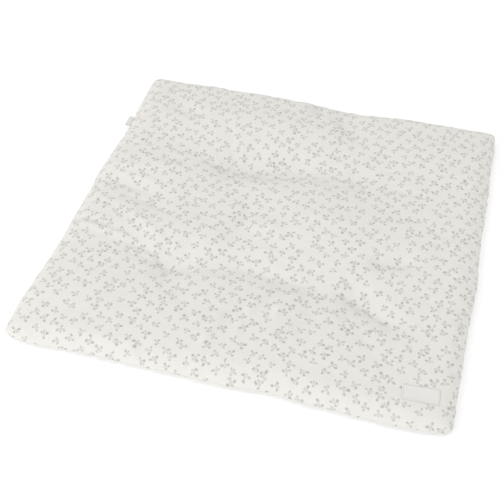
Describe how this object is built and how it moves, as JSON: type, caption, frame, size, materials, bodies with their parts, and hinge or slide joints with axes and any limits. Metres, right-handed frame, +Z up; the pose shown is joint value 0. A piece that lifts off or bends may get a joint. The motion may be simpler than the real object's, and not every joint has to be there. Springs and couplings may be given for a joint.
{
  "type": "baby play mat",
  "caption": "Square soft baby play mat: a filled cotton pad with tufts sewn through it, rolled edges, a bare cloth patch on the top and a folded tape tab in the side seam.",
  "frame": {"origin": "middle of the flat underside, on the floor", "axes": "+X along the front edge to the right, +Y to the back, +Z up through the mat's thickness"},
  "size_m": [0.9613, 0.9554, 0.0579],
  "materials": {
    "printed_cotton": "matt woven cotton, off-white, with a small grey-taupe sprig print",
    "patch_cotton": "matt plain woven cotton, cool off-white, bare",
    "tab_tape": "matt woven tape, light grey"
  },
  "bodies": {
    "root": {"padded_mat": "printed_cotton", "corner_patch": "patch_cotton", "side_tab": "tab_tape"}
  },
  "joints": []
}
